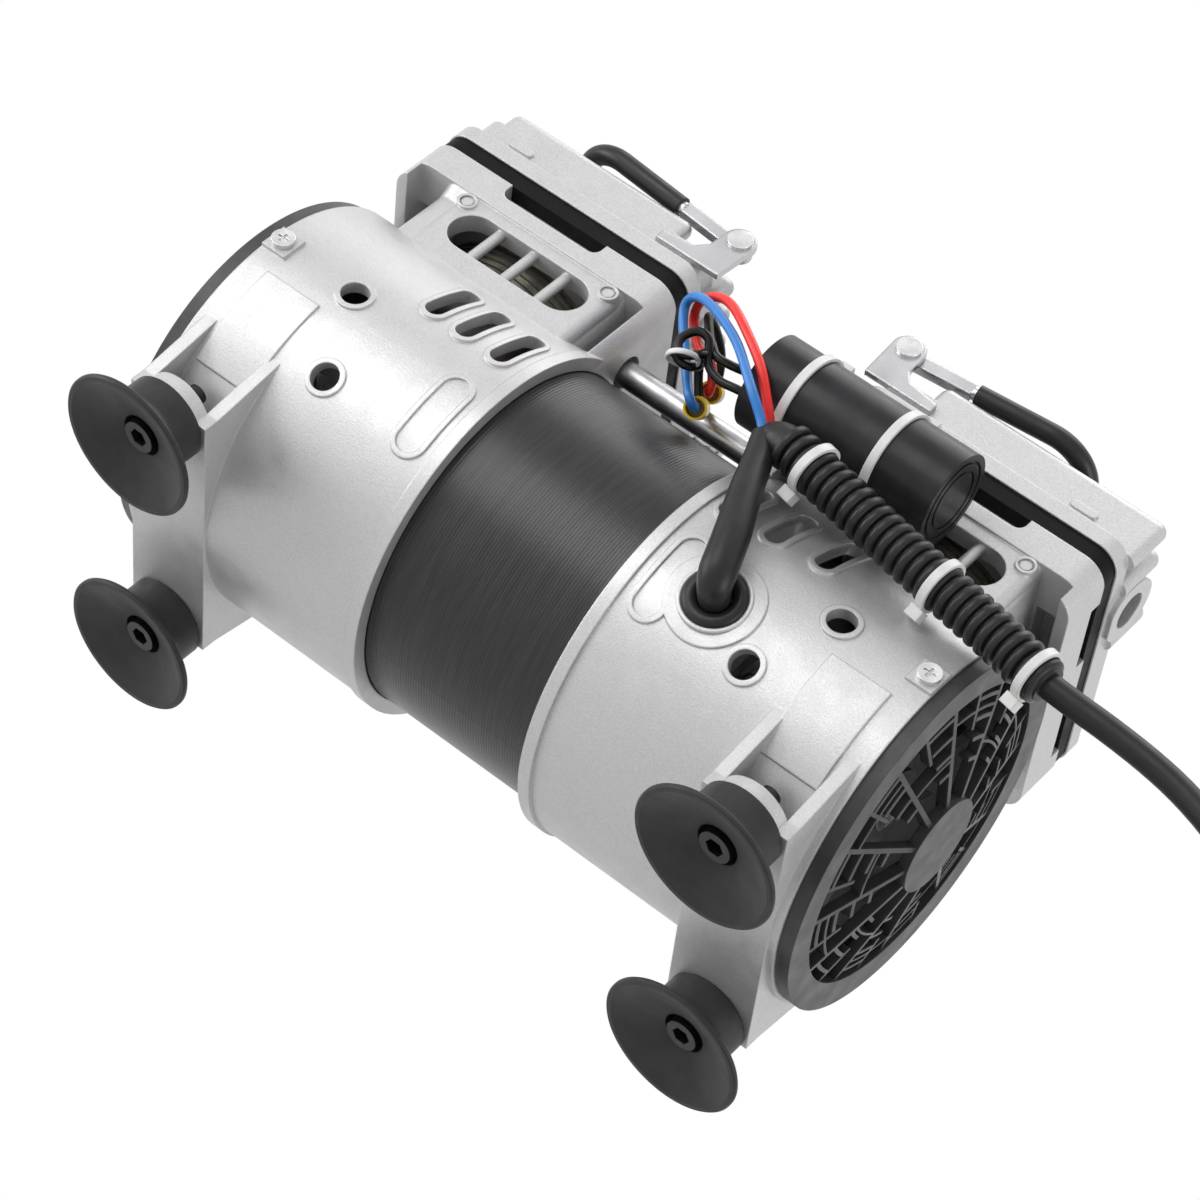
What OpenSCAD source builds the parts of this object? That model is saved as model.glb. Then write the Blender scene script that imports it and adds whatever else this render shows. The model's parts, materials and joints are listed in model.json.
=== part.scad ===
// Twin-cylinder oil-free vacuum pump, standing on its four rubber feet.
// +X runs along the motor shaft, -Y is the front with the wiring, +Z points to the cylinder heads.

/* [Feet] */
// Distance between the feet along the motor axis
foot_pitch_x = 203; // [199:1:207]
// Distance between the feet across the pump
foot_pitch_y = 84; // [78:1:88]
// Height of a rubber foot
foot_h = 16.5; // [15:0.5:17]
// Radius of a foot's suction lip
foot_lip_r = 22.5; // [20:0.5:24]
// Radius of a foot's neck
foot_neck_r = 13; // [12:0.5:14]
// Radius of the screw that holds a foot
foot_screw_r = 3; // [2.5:0.25:3.5]
// Length of the foot screw below its head
foot_screw_len = 18; // [16:1:20]

/* [Housings] */
// Outer radius of the round housing
barrel_r = 58.5; // [57.5:0.5:59]
// Wall of the round housing
barrel_wall = 3.4; // [3:0.2:4]
// Distance of the housing's inner end from the middle
barrel_in = 30; // [28:1:32]
// Distance of the housing's outer end from the middle
barrel_out = 118; // [116:1:120]
// Width of the saddle that carries two feet
saddle_w = 28; // [24:1:30]
// Thickness of the saddle plate and of its two ribs
saddle_t = 4; // [3.5:0.5:4.5]

/* [Cylinder blocks] */
// Distance of a block's inner end from the middle
head_in = 29.5; // [28:0.5:31]
// Length of a block flange and of its head along the motor axis
head_len = 92.5; // [90:0.5:94]
// Width of a block flange and of its head
head_w = 92; // [90:1:94]
// Height of the deck above the top of the round housing
deck_rise = 16.5; // [15:0.5:18]
// Thickness of the block flange
flange_h = 11; // [10:0.5:12]
// How far the block stands back from its flange at both ends
block_inset = 10; // [9:0.5:10.5]
// Wall of the block
block_wall = 4; // [3.5:0.5:4.5]
// Length of the cooling window
window_len = 49; // [44:1:52]
// Height of the cooling window
window_h = 15; // [12:1:16]

/* [Cylinders and pistons] */
// Inner radius of the cylinder
bore_r = 32; // [30:0.5:32.5]
// Wall of the cylinder
sleeve_wall = 2.5; // [2:0.25:2.5]
// Eccentricity of the crank, half of the stroke
crank_e = 4; // [3:0.5:4]
// Radial clearance of the piston seal
seal_gap = 0.06; // [0.04:0.01:0.1]

/* [Heads] */
// Thickness of the valve plate
plate_t = 5; // [4:0.5:6]
// Thickness of the head gasket
gasket_t = 1; // [0.8:0.1:1.2]
// Height of the head body above the gasket
cover_h = 15.5; // [14.5:0.5:17]
// Height of the cooling fins
fin_h = 8; // [7:0.5:8.5]
// Thickness of a fin
fin_t = 6; // [5:0.2:6.2]
// Number of fins on a head
fin_count = 8; // [6:2:8]
// Radius of the threaded air port
port_r = 5.9; // [5.5:0.1:6.5]

/* [Motor] */
// Half of the length of the stator core
stator_half = 36; // [34:1:37]
// Radius of the rotor
rotor_r = 29; // [26:0.5:30]
// Radius of the shaft in the motor
shaft_r = 7.5; // [7:0.25:8]
// Radius of the shaft ends
shaft_end_r = 6; // [5.5:0.25:6.5]
// Radial clearance of a running fit
run_gap = 0.05; // [0.03:0.01:0.08]
// Clearance between a cooling fan and the round housing
fan_gap = 6; // [5:0.5:8]
// Number of fan blades
fan_blades = 9; // [7:1:11]

/* [Grilles] */
// Width of the grille ring
ring_w = 9; // [8:0.5:11]
// Thickness of the grille ring
ring_t = 4.5; // [4:0.5:5.5]
// Radius of the middle disc
hub_r = 15; // [13:0.5:17]
// How far the middle disc stands out of the ring
dome_h = 6; // [4:0.5:7]
// Number of long spokes
spoke_count = 12; // [10:1:14]

/* [Handles] */
// Height of the handle pivots above the fins
pivot_h = 1.2; // [1.1:0.1:3]
// Distance of the handle pivots from the middle
pivot_x = 31; // [30.5:0.5:33]
// Distance from pivot to the middle of the grip
bail_len = 62; // [58:1:66]
// Radius of the rubber grip
grip_r = 3.2; // [3:0.1:3.3]

/* [Front wiring] */
// Radius of the capacitor
cap_r = 14.5; // [13:0.5:15]
// Length of the capacitor
cap_len = 64; // [60:1:68]
// Outer radius of the corrugated conduit
conduit_r = 7; // [6.4:0.1:7.2]
// Radius of the mains cord
cord_r = 3.75; // [3.5:0.05:4]

/* [Hidden] */

$fn = 48;
eps = 0.01;
fit_gap = 0.1;

barrel_in_r = barrel_r - barrel_wall;
axis_z = foot_h + barrel_r + 0.5;
deck_z = axis_z + barrel_r + deck_rise;
head_mid = head_in + head_len / 2;
head_out = head_in + head_len;
head_half = head_w / 2;
foot_x = foot_pitch_x / 2;
foot_y = foot_pitch_y / 2;
block_in = head_in + block_inset;
block_out = head_out - block_inset - 4;
block_half = head_half - 0.6;
side_half = head_half - 3;
cavity_half = side_half - block_wall;
plate_z = deck_z + plate_t;
cover_z = plate_z + gasket_t;
roof_z = cover_z + cover_h;
fin_z = roof_z + fin_h;
pivot_z = fin_z + pivot_h;
corner_r = 8;
sleeve_r = bore_r + sleeve_wall;
sleeve_bottom = deck_z - 30;
collar_h = 3;
collar_r = sleeve_r + 2;

web_x = 50;
web_t = 5;
bearing_x = 49;
bearing_w = 9;
bearing_r = 16;
web_hole_at = (barrel_in_r + bearing_r + 5) / 2;
stator_r = barrel_in_r - 0.3;
shoulder_r = stator_r - 4;
fan_r = barrel_in_r - fan_gap;
ring_r = barrel_r - 1;
ring_open_r = ring_r - ring_w;
fan_x = 101;
fan_w = 10;
spigot_len = 6.5;
spigot_t = 2.4;
pad_x = barrel_out - 4;

rod_t = 8;
rod_x0 = head_mid - rod_t / 2;
journal_r = shaft_end_r + crank_e + 1.5;
big_end_r = journal_r + 6;
eye_r = big_end_r + 2 * crank_e + 0.4;
eye_wall = 4;
crown_z = deck_z - 9.5;
crown_t = 3;
seal_t = 1.2;
seal_lip = 4;
clamp_t = 2.8;
plate_r = bore_r - 1.6;

window_mid = [70.5, 77.7];
notch_mid = [74.2, 78];
notch_len = 36;
window_z = deck_z - 23;
slot_spots = [[[41.6, -17.4], [54.8, -18], [66.6, -18.7]], [[40.2, -17], [54.7, -18.3], [69.9, -20.9]]];
variant = function(side) side > 0 ? 1 : 0;
hole_r = 4.3;
port_y = 17;
port_z = roof_z - 5;
port_len = 16;
port_boss_r = 10.5;
rim_h = 5.5;
fin_edge = head_half - 6.8;
fin_pitch = 2 * fin_edge / (fin_count - 1);
bolt_inset = 9.5;
bolt_spots = [for (sx = [-1, 1], sy = [-1, 1])
    [head_mid + sx * (head_len / 2 - bolt_inset), sy * (head_half - bolt_inset)]];

tube_y = -28;
tube_z = deck_z - 21;
tube_r = 4;
tube_seal_r = 5.6;

ear_t = 2;
ear_y = head_half - 1.8;
wall_half = ear_y - ear_t;
pin_r = 2.5;
arm_t = 3.2;
arm_h = 4.6;
arm_len = 22;
bail_tilt = 6;
arm_y = ear_y - ear_t - 0.3 - arm_t / 2;
bail_r = 2.2;
bend_r = 14;

tie_t = 1;
tie_w = 2.6;
cap_y = -(block_half + 0.2 + cap_r);
cap_z = deck_z - 21.5;
cap_x = 18;
grommet_x = 56;
grommet_angle = 16;

// Routes of sleeve, leads and conduit, as steps from the front edge of the deck
sleeve_steps = [[54.5, -19.6, -89.5], [50, -21.6, -78.5], [43.6, -22.1, -65], [38.6, -21.6, -53.5],
    [34.4, -21.1, -44]];
sleeve_radii = [5.2, 5.4, 5.6, 5, 4.4, 3.8, 3.6];
blue_steps = [[34.8, -22.5, -46], [31, -24.6, -42.7], [22.9, -28.6, -37.9], [11, -28.6, -28.4],
    [-0.3, -25.6, -20.8], [-10.8, -20.6, -14.3], [-16.8, -15.6, -11.5], [-18.4, -11.6, -12.4],
    [-15.7, -8.6, -16.1], [-10.2, -6.6, -21.7], [-3.7, -5.1, -28.6], [1, -4.6, -33.3],
    [3, -1.6, -33.1], [2.2, 1, -30.9]];
red_steps = [[34.8, -19.7, -45.7], [32.6, -20.6, -40.1], [28.1, -24.6, -36.3], [20.4, -29.1, -30.5],
    [9.6, -29.6, -23.2], [0.2, -26.6, -16.2], [-7.4, -21.6, -11.2], [-13, -16.6, -9.6],
    [-15.8, -11.6, -9.8], [-15.4, -6.6, -11.3], [-9.7, -3.1, -15.4], [-4.5, -2.8, -16.8],
    [-1.3, 1.2, -19.2], [-1, 4.6, -20.6], [-2.6, 8.2, -17.3]];
black_steps = [[18.5, -11.6, -18.5], [12, -12.1, -20.5], [6.3, -13.6, -23.2], [1.6, -14.1, -23.7],
    [-3, -14.6, -20.7], [-7.6, -15.1, -20.5], [-9.4, -14.6, -24.9], [-7.8, -13.6, -30.1],
    [-3.7, -12.1, -30.9], [-1.3, -10.6, -27.1], [-3.6, -9.6, -21.5], [-6, -5.6, -19.5],
    [-5, -0.6, -21], [-2.5, 3.4, -23.5], [-0.6, 5.8, -25.3]];
black_steps_2 = [[18.5, -11.6, -26.5], [12.4, -12.1, -28], [7.4, -8.6, -27.9], [4.6, -5.6, -24.5],
    [1, -4.4, -19.5], [-4, -6.1, -14.9], [-9.5, -10.1, -12.5], [-12, -9.6, -9.1], [-10.4, -3.6, -6.9],
    [-8, 3.4, -6.5], [-6.4, 9.4, -7.9], [-5.6, 13, -10.3]];
terminal_steps = [[2.8, -0.6, -32.3], [-2.2, 7.4, -18]];
terminal_turn = [130, 0, 23];
terminal_r = 3.4;
terminal_len = 10;
conduit_steps = [[41.5, -23.8, -44.2], [46.2, -23.6, -44.9], [55.3, -23.1, -46.7], [66, -22.6, -48.3],
    [77.7, -21.6, -50], [94.6, -20.6, -52.4], [110.9, -19.6, -54.4], [125.2, -18.6, -56.3],
    [133, -18.1, -57.7], [140, -17.8, -58.9]];
conduit_rings = 27;
tie_head_turn = 36;
tie_spots = [0.19, 0.6, 0.93];
// Route of the mains cord from the conduit to its coil on the floor
cord_path = [[137, -63.3, 92], [148, -63.2, 91.2], [160, -63.2, 90.6], [173, -63.1, 89.4], [185, -63, 87.2],
    [197, -62.9, 83.4], [208, -62.7, 78.2], [218, -62.4, 71.4], [227, -62, 63.2], [235, -61.6, 54],
    [242.5, -61.1, 44.2], [250, -60.5, 34.2], [258, -59.7, 24.8], [267, -58.7, 16.4], [277, -57.4, 9.6],
    [288, -56, 5.4], [299, -54.5, 3.9], [307.5, -53.4, 3.8], [315.4, -52.3, 3.8]];
coil_x = 309;
coil_y = -4;
coil_mid_r = 45;
tail_path = [[305, 44.75, 11.3], [293, 44.75, 11.1], [281, 44.75, 9.8], [267.5, 44.75, 8.2]];
plug_x = 238;
plug_y = 44.75;

// The origin lies on the floor under the middle of the pump's outer box
middle_x = 6.3;
middle_y = -6.2;

deck_front = [0, -block_half, deck_z];
from_deck = function(steps) [for (p = steps) deck_front + p];
on_grommet = function(r) [grommet_x, -r * cos(grommet_angle), axis_z - r * sin(grommet_angle)];
sleeve_path = concat([on_grommet(barrel_in_r - 1), on_grommet(barrel_r + 4.2)], from_deck(sleeve_steps));
unit = function(v) v / norm(v);
spline = function(p, k) [for (i = [0:len(p) - 2]) for (s = [0:k - 1])
    let (a = p[max(i - 1, 0)], b = p[i], c = p[i + 1], d = p[min(i + 2, len(p) - 1)], t = s / k)
    0.5 * ((2 * b) + (c - a) * t + (2 * a - 5 * b + 4 * c - d) * t * t
        + (3 * b - a - 3 * c + d) * t * t * t)];
smooth = function(p, k) concat(spline(p, k), [p[len(p) - 1]]);
tangents = function(p) [for (i = [0:len(p) - 1])
    unit(p[min(i + 1, len(p) - 1)] - p[max(i - 1, 0)])];
carry = function(u, t) unit(u - (u * t) * t);
normals = function(t, i, out) i == len(t) ? out
    : normals(t, i + 1, concat(out, [carry(out[i - 1], t[i])]));
first_normal = function(t) carry(abs(t[2]) < 0.9 ? [0, 0, 1] : [1, 0, 0], t);

// A tube along a list of points, one radius for each point
module swept_tube(points, radii, sides) {
    t = tangents(points);
    u = normals(t, 1, [first_normal(t[0])]);
    rings = [for (i = [0:len(points) - 1]) for (k = [0:sides - 1])
        let (a = 360 * k / sides)
        points[i] + radii[i] * (cos(a) * u[i] + sin(a) * cross(t[i], u[i]))];
    walls = [for (i = [0:len(points) - 2]) for (k = [0:sides - 1])
        let (n = (k + 1) % sides, a = i * sides)
        [a + k, a + n, a + sides + n, a + sides + k]];
    last = (len(points) - 1) * sides;
    start_cap = [for (k = [0:sides - 1]) sides - 1 - k];
    end_cap = [for (k = [0:sides - 1]) last + k];
    polyhedron(points = rings, faces = [for (f = concat(walls, [start_cap, end_cap])) [for (i = [len(f) - 1:-1:0]) f[i]]]);
}

module even_tube(points, r, sides) {
    swept_tube(points, [for (p = points) r], sides);
}

// The children, drawn about the motor's middle, moved to the part's own origin
module placed() {
    translate([-middle_x, -middle_y, 0]) children();
}

// The children once on the right, and mirrored to the left
module on_side(side) {
    mirror([side < 0 ? 1 : 0, 0, 0]) children();
}

module x_cylinder(x0, x1, r, y = 0, z = axis_z) {
    translate([x0, y, z]) rotate([0, 90, 0]) cylinder(h = x1 - x0, r = r);
}

module y_cylinder(y0, y1, r, x, z) {
    translate([x, y1, z]) rotate([90, 0, 0]) cylinder(h = y1 - y0, r = r);
}

module x_ring(x0, x1, r, hole, y = 0, z = axis_z) {
    difference() {
        x_cylinder(x0, x1, r, y, z);
        x_cylinder(x0 - 1, x1 + 1, hole, y, z);
    }
}

// Children stand on the housing's round wall and point outward; angle 0 is the front, 90 the bottom
module on_wall(x, angle) {
    translate([x, 0, axis_z]) rotate([90 + angle, 0, 0]) children();
}

module rounded_plan(size_x, size_y, r) {
    square([size_x - 2 * r, size_y], center = true);
    square([size_x, size_y - 2 * r], center = true);
    for (sx = [-1, 1], sy = [-1, 1])
        translate([sx * (size_x / 2 - r), sy * (size_y / 2 - r)]) circle(r = r);
}

module rounded_slab(x, z, size_x, size_y, h, r) {
    translate([x, 0, z]) linear_extrude(h) rounded_plan(size_x, size_y, r);
}

module obround(length, width) {
    square([length - width, width], center = true);
    for (s = [-1, 1]) translate([s * (length - width) / 2, 0]) circle(d = width);
}

module slot_plan(grow) {
    rotate(87) obround(21 + 2 * grow, 6 + 2 * grow);
}

module oval_plan(grow) {
    rotate(90) obround(28 + 2 * grow, 9 + 2 * grow);
}

// Raised marks and openings of the front wall; the rear wall has those of the other housing's front
module front_marks(side) {
    for (p = slot_spots[variant(side)]) on_wall(p[0], p[1]) linear_extrude(70)
        mirror([1 - variant(side), 0]) slot_plan(1.6);
    on_wall(74, 26) cylinder(h = 70, r = hole_r + 1.6);
    on_wall(86, 0.6) cylinder(h = 70, r = hole_r + 1.6);
    on_wall(42, 17.5) linear_extrude(70) difference() {
        oval_plan(1.2);
        oval_plan(-0.4);
    }
    on_wall(foot_x - 1.3, 26) translate([-9.75, -16, 0]) cube([19.5, 32, 70]);
}

module front_cuts(side) {
    for (p = slot_spots[variant(side)]) on_wall(p[0], p[1]) translate([0, 0, 45]) linear_extrude(25)
        mirror([1 - variant(side), 0]) slot_plan(0);
    on_wall(74, 26) translate([0, 0, 45]) cylinder(h = 25, r = hole_r);
    on_wall(86, 0.6) translate([0, 0, 45]) cylinder(h = 25, r = hole_r);
}

module wall_marks(side) {
    intersection() {
        x_cylinder(barrel_in, barrel_out, barrel_r + 0.7);
        union() {
            front_marks(side);
            mirror([0, 1, 0]) front_marks(-side);
            if (side > 0) on_wall(grommet_x, grommet_angle) cylinder(h = 70, r = 14);
        }
    }
}

module wall_cuts(side) {
    front_cuts(side);
    mirror([0, 1, 0]) front_cuts(-side);
    if (side > 0) on_wall(grommet_x, grommet_angle) translate([0, 0, 45]) cylinder(h = 25, r = 10.05);
}

// Saddle plate with two screw bosses, and two ribs that run out into the barrel
module saddle() {
    x0 = foot_x - saddle_w / 2;
    rib_y = barrel_r * cos(29.2) - 0.2;
    rib_z = axis_z - barrel_r * sin(29.2);
    plate_half = foot_y + 4.5;
    for (s = [-1, 1]) translate([foot_x, s * foot_y, foot_h]) cylinder(h = saddle_t + 1, r = 11);
    translate([x0, -plate_half, foot_h]) cube([saddle_w, 2 * plate_half, saddle_t]);
    for (x = [x0, x0 + saddle_w - saddle_t]) translate([x, 0, 0]) rotate([90, 0, 90])
        linear_extrude(saddle_t) polygon([
            [-plate_half, foot_h], [-plate_half, foot_h + saddle_t + 1], [-rib_y, rib_z],
            [rib_y, rib_z], [plate_half, foot_h + saddle_t + 1], [plate_half, foot_h]]);
}

// Window field of the block's front, with the two half-round pilasters beside it
module window_field(side) {
    wx = window_mid[variant(side)];
    translate([wx - window_len / 2 - 2, -block_half, axis_z + 30])
        cube([window_len + 4, block_half - side_half + 1, deck_z - flange_h - axis_z - 30]);
    for (e = [-1, 1]) {
        x = wx + e * (window_len / 2 + 2.2);
        translate([x, -block_half + 3.4, axis_z + 30]) cylinder(h = deck_z - flange_h - axis_z - 27, r = 3.4);
        difference() {
            y_cylinder(-block_half - 0.7, -block_half + 3, 3.1, x, window_z + 8.6);
            y_cylinder(-block_half - 2, -block_half + 0.3, 2.3, x, window_z + 8.6);
        }
        y_cylinder(-block_half - 0.4, -block_half + 1, 1.8, x, window_z + 8.6);
    }
}

module window_cut(side) {
    wx = window_mid[variant(side)];
    difference() {
        translate([wx, -block_half + 20, window_z]) rotate([90, 0, 0]) linear_extrude(40)
            obround(window_len, window_h);
        for (k = [-1:1]) translate([wx + k * 12.5, -block_half + 2.8, window_z - 20])
            cylinder(h = 40, r = 1.7);
    }
    translate([notch_mid[variant(side)], -head_half + 6, deck_z]) rotate([90, 0, 0]) linear_extrude(12)
        rounded_plan(notch_len, 11, 3);
}

// Wall that hangs from an end of the flange, as long as the flange is wide
module end_wall(x, t, low) {
    intersection() {
        rounded_slab(head_mid, low, head_len, head_w, deck_z - flange_h + 1 - low, corner_r);
        translate([x, -head_w, 0]) cube([t, 2 * head_w, 2 * deck_z]);
    }
}

module block(side) {
    mid = (block_in + block_out) / 2;
    rounded_slab(head_mid, deck_z - flange_h, head_len, head_w, flange_h, corner_r);
    hull() {
        rounded_slab(mid, deck_z - flange_h, block_out - block_in, head_w - 1, eps, 5);
        rounded_slab(mid, deck_z - flange_h - 4, block_out - block_in, 2 * side_half, eps, 5);
    }
    end_wall(head_in, 3.8, deck_z - 41.5);
    end_wall(head_out - 4, 4, deck_z - flange_h - 6);
    rounded_slab(mid, axis_z, block_out - block_in, 2 * side_half, deck_z - flange_h - axis_z, 5);
    window_field(side);
    mirror([0, 1, 0]) window_field(-side);
}

module block_cuts(side) {
    window_cut(side);
    mirror([0, 1, 0]) window_cut(-side);
    for (s = [-1, 1]) translate([head_out, s * 20, deck_z]) cube([9, 24, 8], center = true);
    translate([block_out + 1, -30, deck_z - flange_h - 1]) cube([head_out - block_out - 5, 60, flange_h - 4]);
}

// Housing in one casting: barrel, bearing wall, cylinder block and foot saddle, drawn for the right
module housing(side) color("silver") placed() on_side(side) difference() {
    union() {
        difference() {
            union() {
                x_cylinder(barrel_in, barrel_out, barrel_r);
                x_cylinder(barrel_in, barrel_in + 4, barrel_r + 0.9);
                saddle();
                block(side);
                wall_marks(side);
                for (a = [0, 180]) on_wall(pad_x, a) translate([-4.5, -4.5, barrel_in_r - 1])
                    cube([8.5, 9, barrel_wall + 2]);
            }
            x_cylinder(barrel_in - 1, barrel_out + 1, barrel_in_r);
            translate([block_in + block_wall, -cavity_half, axis_z])
                cube([block_out - block_in - 2 * block_wall, 2 * cavity_half, deck_z - flange_h - axis_z]);
        }
        // Barrel roof inside the block
        difference() {
            x_ring(barrel_in + 1, barrel_out - 1, barrel_r - 0.2, barrel_in_r);
            translate([0, -80, 0]) cube([200, 160, axis_z + 2]);
        }
        // Shoulder behind the stator core, and the bearing wall
        x_ring(stator_half, stator_half + 4, barrel_in_r + 1, shoulder_r);
        difference() {
            x_cylinder(web_x, web_x + web_t, barrel_in_r + 1);
            for (a = [30:60:330]) translate([web_x - 1, web_hole_at * cos(a), axis_z + web_hole_at * sin(a)])
                rotate([0, 90, 0]) cylinder(h = web_t + 2, r = (barrel_in_r - bearing_r - 5) / 2 - 8);
        }
        x_cylinder(bearing_x - 1, bearing_x + bearing_w + 1, bearing_r + 5);
    }
    x_cylinder(bearing_x, bearing_x + bearing_w + 2, bearing_r + run_gap);
    x_cylinder(bearing_x - 2, bearing_x + 1, shaft_r + 2);
    translate([head_mid, 0, axis_z + 30]) cylinder(h = deck_z, r = sleeve_r + fit_gap);
    translate([head_mid, 0, deck_z - collar_h]) cylinder(h = collar_h + 1, r = collar_r + fit_gap);
    wall_cuts(side);
    block_cuts(side);
    for (s = [-1, 1]) translate([foot_x, s * foot_y, 0]) cylinder(h = foot_h + 12, r = foot_screw_r + run_gap);
    for (a = [0, 180]) on_wall(pad_x, a) cylinder(h = 80, r = 2 + run_gap);
    x_cylinder(block_in - 1, block_in + 3, tube_r + run_gap, tube_y, tube_z);
    x_cylinder(barrel_in - 1, block_in, tube_seal_r + fit_gap, tube_y, tube_z);
    for (p = bolt_spots) translate([p[0], p[1], deck_z - 9]) cylinder(h = 20, r = 2.6);
}

module left_housing() { housing(-1); }
module right_housing() { housing(1); }

module stator_core() color("#202022") placed() difference() {
    x_cylinder(-stator_half, stator_half, stator_r);
    x_cylinder(-stator_half - 1, stator_half + 1, rotor_r + 0.6);
    for (a = [0:15:345]) translate([0, 0, axis_z]) rotate([a, 0, 0])
        translate([-stator_half - 1, rotor_r, -1.6]) cube([2 * stator_half + 2, 12, 3.2]);
}

// Coil ends on both faces of the stator core
module stator_windings() color("#8a4b2a") placed() for (s = [-1, 1])
    translate([s * (stator_half + 4.8), 0, axis_z]) rotate([0, 90, 0]) rotate_extrude()
        translate([rotor_r + 0.43 * (shoulder_r - rotor_r), 0]) obround(0.53 * (shoulder_r - rotor_r), 9.6);

module motor_bearings() color("silver") placed() for (s = [-1, 1]) on_side(s) difference() {
    x_ring(bearing_x + fit_gap, bearing_x + fit_gap + bearing_w, bearing_r, shaft_r + run_gap);
    for (x = [bearing_x - 0.4, bearing_x + bearing_w - 0.4]) x_ring(x, x + 1, 13, 10);
}

// Fan guard: long and short spokes, with arcs that start at each long spoke
module guard_arc(r, w, span) {
    difference() {
        intersection() {
            circle(r = r + w / 2);
            polygon([[0, 0], for (k = [0:3]) [70 * cos(k * span / 3), 70 * sin(k * span / 3)]]);
        }
        circle(r = r - w / 2);
    }
}

module guard_plan() {
    sector = 360 / spoke_count;
    for (i = [0:spoke_count - 1]) rotate(i * sector + 24) {
        translate([hub_r - 2, -0.8]) square([ring_open_r - hub_r + 4, 1.6]);
        rotate(sector * 0.52) translate([ring_open_r - 12, -0.6]) square([14, 1.2]);
        for (k = [0:3]) guard_arc(ring_open_r - 3.2 - 6.2 * k, 1.2, sector * (0.52 - 0.05 * k));
        guard_arc(ring_open_r - 6.4 - 11 * (i % 2), 0.8, sector);
    }
}

module grille(side) color("#3b3c3e") placed() on_side(side) {
    x_ring(barrel_out, barrel_out + ring_t, ring_r, ring_open_r);
    difference() {
        x_ring(barrel_out - spigot_len, barrel_out, barrel_in_r - fit_gap, barrel_in_r - fit_gap - spigot_t);
        for (a = [0, 180]) on_wall(pad_x, a) cylinder(h = 80, r = 2 + run_gap);
    }
    intersection() {
        translate([0, 0, axis_z]) rotate([0, 90, 0]) rotate_extrude() polygon([
            [hub_r - 3, barrel_out + ring_t + dome_h - 4], [ring_open_r + 1, barrel_out + 0.6],
            [ring_open_r + 1, barrel_out + 3.4], [hub_r - 3, barrel_out + ring_t + dome_h - 0.4]]);
        translate([0, 0, axis_z]) rotate([90, 0, 90]) linear_extrude(200) guard_plan();
    }
    x_cylinder(barrel_out + ring_t + dome_h - 3.4, barrel_out + ring_t + dome_h, hub_r);
}

module left_grille() { grille(-1); }
module right_grille() { grille(1); }

module grille_screws() color("gainsboro") placed() for (s = [-1, 1], a = [0, 180]) on_side(s) on_wall(pad_x, a) {
    translate([0, 0, barrel_r + 1]) difference() {
        cylinder(h = 1.6, r = 3.5);
        for (q = [0, 90]) rotate(q) translate([-1.8, -0.4, 0.8]) cube([3.6, 0.8, 2]);
    }
    translate([0, 0, barrel_in_r - 3]) cylinder(h = barrel_wall + 4 + eps, r = 2);
}

// Cylinder sleeve with a collar and fine turned grooves
module cylinder_sleeve(side) color("#b9b6aa") placed() on_side(side) translate([head_mid, 0, 0]) difference() {
    union() {
        translate([0, 0, sleeve_bottom]) cylinder(h = deck_z - sleeve_bottom, r = sleeve_r, $fn = 96);
        translate([0, 0, deck_z - collar_h]) cylinder(h = collar_h, r = collar_r, $fn = 96);
    }
    translate([0, 0, sleeve_bottom - 1]) cylinder(h = 100, r = bore_r, $fn = 96);
    for (z = [sleeve_bottom + 1.3:2.6:deck_z - flange_h - 2]) translate([0, 0, z]) difference() {
        cylinder(h = 1.3, r = sleeve_r + 1);
        translate([0, 0, -1]) cylinder(h = 4, r = sleeve_r - 0.8);
    }
}

module left_cylinder() { cylinder_sleeve(-1); }
module right_cylinder() { cylinder_sleeve(1); }

module bolt_holes(r) {
    for (p = bolt_spots) translate([p[0], p[1], deck_z - 8]) cylinder(h = 60, r = r);
}

module valve_plate(side) color("#1d1d1f") placed() on_side(side) difference() {
    rounded_slab(head_mid, deck_z, head_len - 1, head_w - 1, plate_t, corner_r - 0.5);
    for (sy = [-1, 1], k = [-1:1]) translate([head_mid + 6 * k, sy * 14, deck_z - 1]) cylinder(h = plate_t + 2, r = 2);
    bolt_holes(2.6);
}

module left_valve_plate() { valve_plate(-1); }
module right_valve_plate() { valve_plate(1); }

module chamber_plan() {
    for (sy = [-1, 1]) translate([0, sy * (head_half - 9) / 2 + sy * 1]) rounded_plan(head_len - 30, head_half - 14, 5);
}

module gasket(side) color("#101012") placed() on_side(side) difference() {
    rounded_slab(head_mid, plate_z, head_len - 1, head_w - 1, gasket_t, corner_r - 0.5);
    translate([head_mid, 0, plate_z - 1]) linear_extrude(gasket_t + 2) chamber_plan();
    bolt_holes(2.6);
}

module left_gasket() { gasket(-1); }
module right_gasket() { gasket(1); }

// Reed strips: the delivery reed on the plate, the intake reed under it
module reed_valves() color("lightsteelblue") placed() for (s = [-1, 1]) on_side(s) {
    translate([head_mid - 13, 10, plate_z]) cube([26, 8, 0.4]);
    translate([head_mid - 13, -18, deck_z - 0.4]) cube([26, 8, 0.4]);
}

// Cooling fin from x0 to x1 with round ends and a round crown
module fin(x0, x1, y) {
    r = fin_t / 2;
    translate([x0 + r, y - r, cover_z + rim_h]) cube([x1 - x0 - 2 * r, fin_t, fin_z - cover_z - rim_h - r]);
    x_cylinder(x0 + r, x1 - r, r, y, fin_z - r);
    for (x = [x0 + r, x1 - r]) translate([x, y, 0]) {
        translate([0, 0, cover_z + rim_h]) cylinder(h = fin_z - cover_z - rim_h - r, r = r);
        translate([0, 0, fin_z - r]) sphere(r = r);
    }
}

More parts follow.
